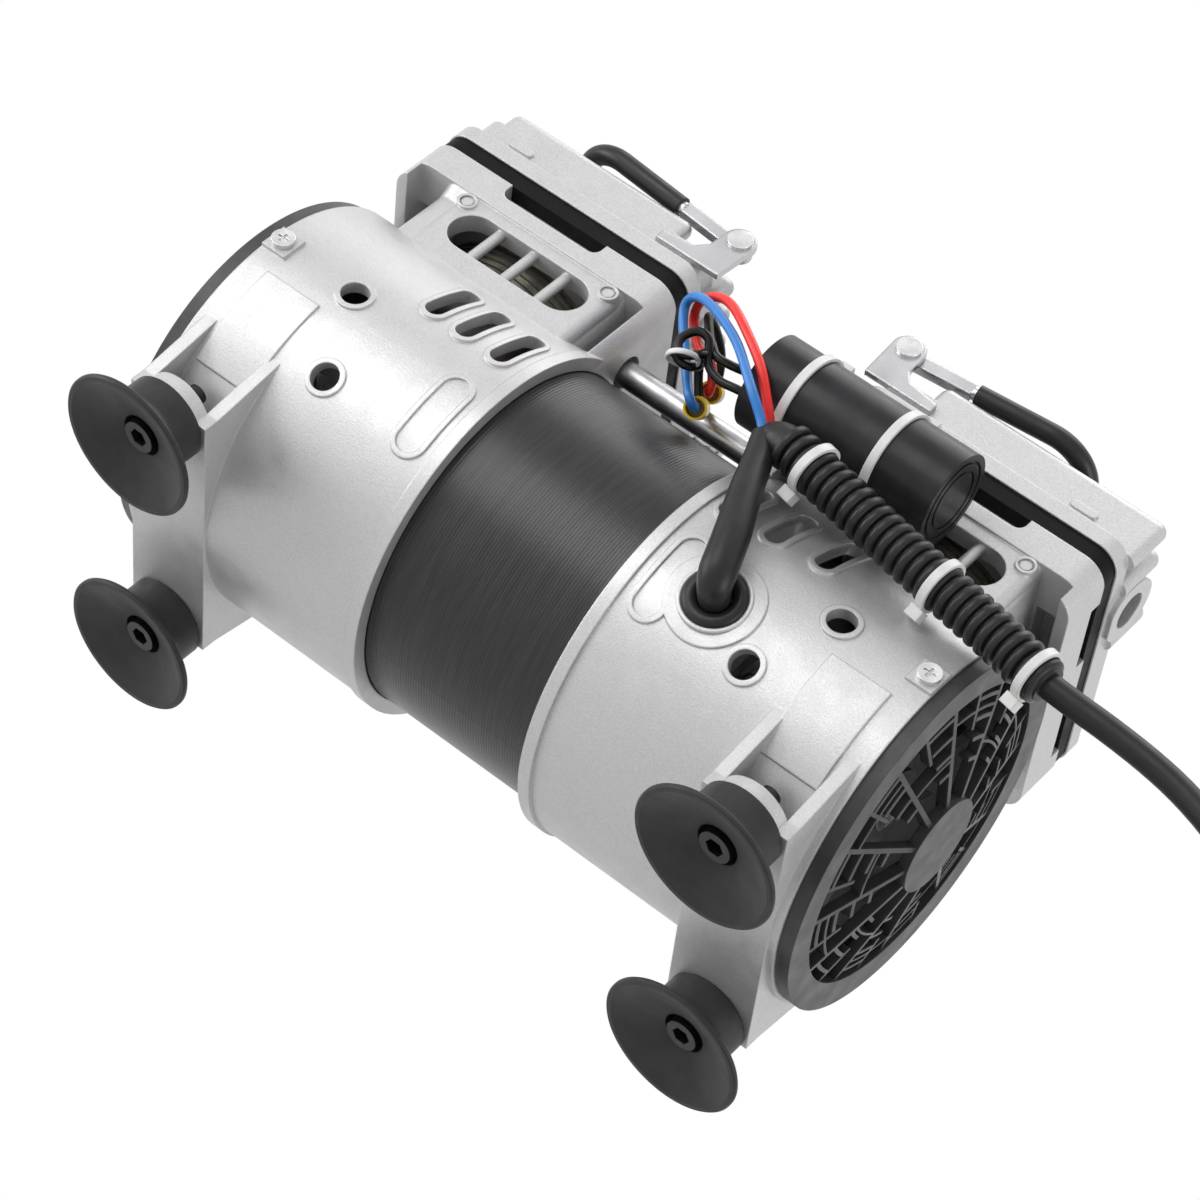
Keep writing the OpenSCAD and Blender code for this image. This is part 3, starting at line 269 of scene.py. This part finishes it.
# Procedural materials
class Mat:
    def __init__(self, name, color, rough, metal=0.0, spec=0.5):
        self.m = bpy.data.materials.new(name)
        self.m.use_nodes = True
        self.t = self.m.node_tree
        self.b = self.t.nodes["Principled BSDF"]
        self.b.inputs["Base Color"].default_value = (*color, 1)
        self.b.inputs["Roughness"].default_value = rough
        self.b.inputs["Metallic"].default_value = metal
        self.b.inputs["Specular IOR Level"].default_value = spec
        self.color = color
        self.coords = self.node("ShaderNodeTexCoord").outputs["Object"]
        self.normal = None

    def node(self, kind, **values):
        n = self.t.nodes.new(kind)
        for k, v in values.items():
            if k in n.inputs:
                n.inputs[k].default_value = v
            else:
                setattr(n, k, v)
        return n

    def join(self, a, b):
        self.t.links.new(a, b)

    def noise(self, scale, detail=3.0, rough=0.55, stretch=None):
        n = self.node("ShaderNodeTexNoise")
        n.inputs["Scale"].default_value = scale
        n.inputs["Detail"].default_value = detail
        n.inputs["Roughness"].default_value = rough
        source = self.coords
        if stretch:
            mapping = self.node("ShaderNodeMapping")
            mapping.inputs["Scale"].default_value = stretch
            self.join(self.coords, mapping.inputs["Vector"])
            source = mapping.outputs["Vector"]
        self.join(source, n.inputs["Vector"])
        return n.outputs["Fac"]

    def vary_color(self, fac, low, high, a=0.35, b=0.65):
        ramp = self.node("ShaderNodeValToRGB")
        ramp.color_ramp.elements[0].position = a
        ramp.color_ramp.elements[0].color = (*[c * low for c in self.color], 1)
        ramp.color_ramp.elements[1].position = b
        ramp.color_ramp.elements[1].color = (*[min(c * high, 1) for c in self.color], 1)
        self.join(fac, ramp.inputs["Fac"])
        self.join(ramp.outputs["Color"], self.b.inputs["Base Color"])
        return self

    def vary_rough(self, fac, low, high):
        r = self.node("ShaderNodeMapRange")
        r.inputs["From Min"].default_value = 0.3
        r.inputs["From Max"].default_value = 0.7
        r.inputs["To Min"].default_value = low
        r.inputs["To Max"].default_value = high
        self.join(fac, r.inputs["Value"])
        self.join(r.outputs["Result"], self.b.inputs["Roughness"])
        return self

    def bump(self, fac, strength, distance=0.0004):
        n = self.node("ShaderNodeBump")
        n.inputs["Strength"].default_value = strength
        n.inputs["Distance"].default_value = distance
        self.join(fac, n.inputs["Height"])
        if self.normal:
            self.join(self.normal, n.inputs["Normal"])
        self.normal = n.outputs["Normal"]
        self.join(self.normal, self.b.inputs["Normal"])
        return self

    def soft_edges(self, radius):
        n = self.node("ShaderNodeBevel")
        n.samples = 4
        n.inputs["Radius"].default_value = radius
        self.normal = n.outputs["Normal"]
        self.join(self.normal, self.b.inputs["Normal"])
        return self

    def lines(self, axis, scale, distortion=0.0):
        w = self.node("ShaderNodeTexWave", wave_type="BANDS", bands_direction=axis)
        w.inputs["Scale"].default_value = scale
        w.inputs["Distortion"].default_value = distortion
        self.join(self.coords, w.inputs["Vector"])
        return w.outputs["Fac"]


def cast_alloy():
    m = Mat("cast_alloy", (0.555, 0.549, 0.556), 0.40, 0.45)
    m.soft_edges(0.0007)
    m.vary_color(m.noise(1900, 2), 0.9, 1.07, 0.3, 0.7)
    m.vary_rough(m.noise(160, 3), 0.36, 0.48)
    m.bump(m.noise(1900, 2, 0.6), 0.42, 0.00016)
    m.bump(m.noise(110, 3), 0.08, 0.0005)
    return m.m


def simple(name, color, rough, metal=0.0, grain=900, bump=0.15, vary=(0.85, 1.12), edge=0.0003, spec=0.5):
    m = Mat(name, color, rough, metal, spec)
    if edge:
        m.soft_edges(edge)
    m.vary_color(m.noise(grain * 0.35, 3), *vary)
    m.vary_rough(m.noise(grain * 0.2, 2), max(rough - 0.06, 0.03), min(rough + 0.08, 1))
    m.bump(m.noise(grain, 2), bump, 0.0002)
    return m.m


def stator_paint():
    m = Mat("stator_paint", (0.014, 0.014, 0.015), 0.34, 0.1, 0.45)
    m.vary_color(m.noise(60, 3, stretch=(14, 1, 1)), 0.7, 1.6)
    m.bump(m.lines("X", 330, 0.2), 0.3, 0.00012)
    m.bump(m.noise(900, 2), 0.12, 0.0002)
    return m.m


def turned(name, color, rough, metal, scale, axis="Z", strength=0.35):
    m = Mat(name, color, rough, metal)
    m.vary_color(m.noise(500, 2, stretch=(1, 1, 6)), 0.85, 1.12)
    m.bump(m.lines(axis, scale, 0.3), strength, 0.00015)
    return m.m


MATERIALS = {
    "cast_alloy": cast_alloy(),
    "stator_paint": stator_paint(),
    "copper_winding": turned("copper_winding", (0.40, 0.16, 0.06), 0.35, 0.6, 700, "X", 0.6),
    "bearing_steel": simple("bearing_steel", (0.62, 0.62, 0.63), 0.25, 1.0, 600, 0.05),
    "guard_plastic": simple(
        "guard_plastic", (0.05, 0.05, 0.052), 0.42, 0.0, 700, 0.12, edge=0.0004, spec=0.35),
    "bright_screw": simple("bright_screw", (0.72, 0.72, 0.73), 0.22, 1.0, 500, 0.05),
    "anodised_sleeve": turned("anodised_sleeve", (0.20, 0.19, 0.155), 0.38, 0.5, 700, "Z", 0.4),
    "black_plate": simple("black_plate", (0.008, 0.008, 0.009), 0.5, 0.0, 700, 0.12, spec=0.08),
    "gasket_rubber": simple("gasket_rubber", (0.008, 0.008, 0.008), 0.6, 0.0, 700, 0.15, spec=0.07),
    "black_screw": simple("black_screw", (0.022, 0.022, 0.024), 0.35, 0.6, 600, 0.1),
    "tube_metal": simple("tube_metal", (0.42, 0.42, 0.43), 0.32, 1.0, 500, 0.06),
    "foot_rubber": simple("foot_rubber", (0.032, 0.032, 0.034), 0.46, 0.0, 500, 0.1, spec=0.22),
    "rotor_steel": turned("rotor_steel", (0.3, 0.3, 0.31), 0.35, 0.9, 300, "X"),
    "fan_plastic": simple("fan_plastic", (0.02, 0.02, 0.022), 0.5, 0.0, 700, 0.1),
    "piston_alloy": simple("piston_alloy", (0.55, 0.55, 0.56), 0.35, 0.8, 600, 0.15),
    "seal_ptfe": simple("seal_ptfe", (0.13, 0.075, 0.045), 0.45, 0.0, 500, 0.08),
    "handle_chrome": simple(
        "handle_chrome", (0.50, 0.50, 0.51), 0.28, 1.0, 300, 0.03, vary=(0.95, 1.03), edge=0.0009),
    "grip_rubber": simple("grip_rubber", (0.012, 0.012, 0.013), 0.4, 0.0, 600, 0.08, spec=0.3),
    "capacitor_case": simple("capacitor_case", (0.022, 0.022, 0.024), 0.3, 0.0, 400, 0.03, spec=0.18),
    "tie_nylon": simple(
        "tie_nylon", (0.78, 0.78, 0.77), 0.4, 0.0, 500, 0.06, vary=(0.94, 1.04), edge=0.0006),
    "sleeve_vinyl": simple("sleeve_vinyl", (0.02, 0.02, 0.021), 0.38, 0.0, 500, 0.06, spec=0.25),
    "blue_wire": simple("blue_wire", (0.03, 0.21, 0.62), 0.35, 0.0, 400, 0.04, vary=(0.93, 1.06), edge=0),
    "red_wire": simple("red_wire", (0.85, 0.022, 0.014), 0.4, 0.0, 400, 0.04, vary=(0.93, 1.06), edge=0),
    "black_wire": simple("black_wire", (0.010, 0.010, 0.010), 0.3, 0.0, 400, 0.04, edge=0, spec=0.25),
    "yellow_terminal": simple(
        "yellow_terminal", (0.80, 0.55, 0.012), 0.35, 0.0, 400, 0.04, vary=(0.93, 1.05)),
    "cord_rubber": simple("cord_rubber", (0.014, 0.014, 0.015), 0.4, 0.0, 500, 0.08, edge=0, spec=0.25),
}

for node_name, obj in NODES.items():
    obj.data.materials.clear()
    look_name = "tube_metal" if node_name == "transfer_tube" else SLOT_OF[node_name]
    obj.data.materials.append(MATERIALS[look_name])
    obj.data.shade_smooth()
    obj.data.set_sharp_from_angle(angle=math.radians(28))

cord_obj.data.materials.append(MATERIALS["cord_rubber"])


def resampled(points, count):
    """Points at even steps along a line."""
    lengths = [0]
    for a, b in zip(points, points[1:]):
        lengths.append(lengths[-1] + (b - a).length)
    out = []
    i = 0
    for k in range(count):
        s = lengths[-1] * k / (count - 1)
        while i < len(points) - 2 and lengths[i + 1] < s:
            i += 1
        f = (s - lengths[i]) / (lengths[i + 1] - lengths[i])
        out.append(points[i].lerp(points[i + 1], f))
    return out


# Conduit with round rings and narrow grooves
def add_conduit():
    steps = 12
    count = CONDUIT_RINGS * steps + 1
    points = resampled(spline(CONDUIT_PATH, 12), count)
    radii = []
    for k in range(count):
        phase = (k % steps) / steps
        crown = max(1 - abs(2 * phase / 0.8 - 1) ** 3, 0) if phase < 0.8 else 0
        radii.append(CONDUIT_R - CONDUIT_GROOVE + CONDUIT_GROOVE * math.sqrt(crown))
    bm = bmesh.new()
    tube(bm, points, radii, 40)
    obj = link(mesh_object("conduit_rings", bm, 70), BODY, MATERIALS["sleeve_vinyl"])
    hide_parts("conduit")


# Lead as a round tube of even thickness
def add_leads(name, paths, r, slot_name, node):
    bm = bmesh.new()
    for path in paths:
        points = spline(path, 8)
        tube(bm, points, [r] * len(points), 20)
    obj = link(mesh_object(name, bm, 60), BODY, MATERIALS[slot_name])
    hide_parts(node)


def radii_between(radii, steps, count):
    """One radius for each point of a spline, from those at its own points."""
    last = len(radii) - 1
    out = []
    for i in range(count):
        part = i % steps / steps
        out.append(radii[min(i // steps, last)] * (1 - part) + radii[min(i // steps + 1, last)] * part)
    return out


# Lead sleeve out of the grommet, and the tape that joins it to the conduit
def add_sleeve():
    steps = 8
    runs = (("lead_sleeve_run", SLEEVE_PATH, SLEEVE_RADII), ("sleeve_tape", TAPE_PATH, TAPE_RADII))
    for name, path, radii in runs:
        points = spline(path, steps)
        wide = radii_between(radii, steps, len(points))
        bm = bmesh.new()
        tube(bm, points, wide, 28)
        obj = link(mesh_object(name, bm, 60), BODY, MATERIALS["sleeve_vinyl"])
        if name == "lead_sleeve_run":
            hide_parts("lead_sleeve")


add_conduit()
add_sleeve()
add_leads("blue_lead_run", [BLUE_PATH], LEAD_R, "blue_wire", "blue_lead")
add_leads("red_lead_run", [RED_PATH], LEAD_R, "red_wire", "red_lead")
add_leads("black_lead_runs", BLACK_PATHS, BLACK_LEAD_R, "black_wire", "black_leads")


def lathe(bm, profile, place, axis, sides=48):
    """Turns a profile of (radius, height) in millimetres about an axis; the profile is a closed loop."""
    turn = Vector((0, 0, 1)).rotation_difference(Vector(axis)).to_matrix()
    rings = []
    for k in range(sides):
        a = 2 * math.pi * k / sides
        ring = []
        for r, z in profile:
            spot = turn @ Vector((r * math.cos(a), r * math.sin(a), z))
            ring.append(bm.verts.new((Vector(place) - MIDDLE + spot) * MM))
        rings.append(ring)
    for k in range(sides):
        a, b = rings[k], rings[(k + 1) % sides]
        for i in range(len(profile)):
            n = (i + 1) % len(profile)
            bm.faces.new((a[i], b[i], b[n], a[n]))


# Rubber grommet with a round lip, seated in a turned metal collar
def add_grommet():
    angle = math.radians(16)
    out = Vector((0, -math.cos(angle), -math.sin(angle)))
    place = Vector((56, 0, MOTOR_AXIS_HEIGHT)) + BARREL_R * out
    lip = []
    for a in range(0, 181, 15):
        lip.append((6.9 + 2.1 * math.cos(math.radians(a)), 1 + 1.5 * math.sin(math.radians(a))))
    bm = bmesh.new()
    lathe(bm, [(9.0, -3)] + lip + [(4.8, -3)], place, out)
    obj = link(mesh_object("grommet_lip", bm, 50), BODY, MATERIALS["sleeve_vinyl"])
    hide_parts("grommet")
    bm = bmesh.new()
    lathe(bm, [(10.4, -1), (10.4, 0.9), (10.1, 1.2), (9.4, 1.2), (9.05, 0.9), (9.05, -1)], place, out)
    link(mesh_object("grommet_collar", bm, 35), BODY, MATERIALS["cast_alloy"])


# Thin white tie round the bundle of black leads
def add_lead_tie():
    bm = bmesh.new()
    place, r = LEAD_TIE
    profile = []
    for a in range(0, 360, 30):
        profile.append((r + 0.45 * math.cos(math.radians(a)), 0.9 * math.sin(math.radians(a))))
    lathe(bm, profile, place, (0.45, 0.35, -0.82), 40)
    link(mesh_object("lead_tie", bm, 60), BODY, MATERIALS["tie_nylon"])


add_grommet()
add_lead_tie()


# Plug with a tapered relief and two round pins
def add_plug():
    bm = bmesh.new()
    rings = []
    for x, half_width, half_height in PLUG_SECTIONS:
        ring = []
        for k in range(PLUG_SIDES):
            a = 2 * math.pi * k / PLUG_SIDES
            c, s = math.cos(a), math.sin(a)
            y = math.copysign(abs(c) ** PLUG_SQUARENESS, c) * half_width
            z = math.copysign(abs(s) ** PLUG_SQUARENESS, s) * half_height
            ring.append(bm.verts.new((Vector((x, PLUG_Y + y, PLUG_BODY_Z + z)) - MIDDLE) * MM))
        rings.append(ring)
    for a, b in zip(rings, rings[1:]):
        for k in range(PLUG_SIDES):
            n = (k + 1) % PLUG_SIDES
            bm.faces.new((a[k], a[n], b[n], b[k]))
    bm.faces.new(rings[0])
    bm.faces.new(list(reversed(rings[-1])))
    body = mesh_object("plug_body", bm, 40)
    bm = bmesh.new()
    for side in (-1, 1):
        y = PLUG_Y + side * PIN_SPREAD
        tube(bm, [Vector((x, y, PLUG_PIN_Z)) for x in PIN_XS], PIN_RADII, 20)
    pins = mesh_object("plug_pins", bm, 40)
    return body, pins


plug_body, plug_pins = add_plug()
link(plug_body, BODY, MATERIALS["cord_rubber"])
link(plug_pins, BODY, MATERIALS["bright_screw"])
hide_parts("plug")


# Stage: pale floor that is clear from below, soft lamps and a white world
def add_floor():
    bm = bmesh.new()
    bmesh.ops.create_grid(bm, x_segments=1, y_segments=1, size=8)
    floor = mesh_object("floor", bm)
    floor.location.z = -0.0002
    m = bpy.data.materials.new("floor_pale")
    m.use_nodes = True
    t = m.node_tree
    b = t.nodes["Principled BSDF"]
    b.inputs["Base Color"].default_value = (0.82, 0.82, 0.82, 1)
    b.inputs["Roughness"].default_value = 0.75
    clear = t.nodes.new("ShaderNodeBsdfTransparent")
    mix = t.nodes.new("ShaderNodeMixShader")
    geo = t.nodes.new("ShaderNodeNewGeometry")
    path = t.nodes.new("ShaderNodeLightPath")
    front = t.nodes.new("ShaderNodeMath")
    front.operation = "SUBTRACT"
    front.inputs[0].default_value = 1
    seen = t.nodes.new("ShaderNodeMath")
    seen.operation = "MULTIPLY"
    t.links.new(geo.outputs["Backfacing"], front.inputs[1])
    t.links.new(path.outputs["Is Camera Ray"], seen.inputs[0])
    t.links.new(front.outputs[0], seen.inputs[1])
    t.links.new(seen.outputs[0], mix.inputs["Fac"])
    t.links.new(clear.outputs["BSDF"], mix.inputs[1])
    t.links.new(b.outputs["BSDF"], mix.inputs[2])
    t.links.new(mix.outputs["Shader"], t.nodes["Material Output"].inputs["Surface"])
    floor.data.materials.append(m)


def add_lamp(name, place, target, size, power):
    data = bpy.data.lights.new(name, "AREA")
    data.shape = "SQUARE"
    data.size = size
    data.energy = power
    lamp = bpy.data.objects.new(name, data)
    lamp.location = place
    lamp.rotation_euler = (Vector(target) - Vector(place)).to_track_quat("-Z", "Y").to_euler()
    lamp.visible_camera = False
    bpy.context.collection.objects.link(lamp)


def add_world():
    world = bpy.data.worlds.new("world")
    bpy.context.scene.world = world
    world.use_nodes = True
    t = world.node_tree
    back = t.nodes["Background"]
    back.inputs["Color"].default_value = (1, 1, 1, 1)
    path = t.nodes.new("ShaderNodeLightPath")
    seen_or_mirrored = t.nodes.new("ShaderNodeMath")
    seen_or_mirrored.operation = "MAXIMUM"
    white = t.nodes.new("ShaderNodeMath")
    white.operation = "MAXIMUM"
    ramp = t.nodes.new("ShaderNodeMapRange")
    ramp.inputs["To Min"].default_value = 0.36
    ramp.inputs["To Max"].default_value = 1.0
    t.links.new(path.outputs["Is Camera Ray"], seen_or_mirrored.inputs[0])
    t.links.new(path.outputs["Is Glossy Ray"], seen_or_mirrored.inputs[1])
    t.links.new(seen_or_mirrored.outputs[0], white.inputs[0])
    t.links.new(path.outputs["Is Transmission Ray"], white.inputs[1])
    t.links.new(white.outputs[0], ramp.inputs["Value"])
    t.links.new(ramp.outputs["Result"], back.inputs["Strength"])


add_floor()
add_lamp("key", (-0.75, -1.45, -0.05), (0, 0, 0.09), 0.9, 11)
add_lamp("side", (-1.3, -0.45, -0.4), (0, 0, 0.08), 0.8, 11)
add_lamp("top", (-0.2, -0.5, 1.5), (0, 0, 0.1), 1.1, 10)
add_lamp("rim", (1.4, -0.1, 0.05), (0, 0, 0.08), 0.8, 9)
add_world()
bpy.context.scene.view_settings.view_transform = "Standard"

bpy.context.view_layer.update()
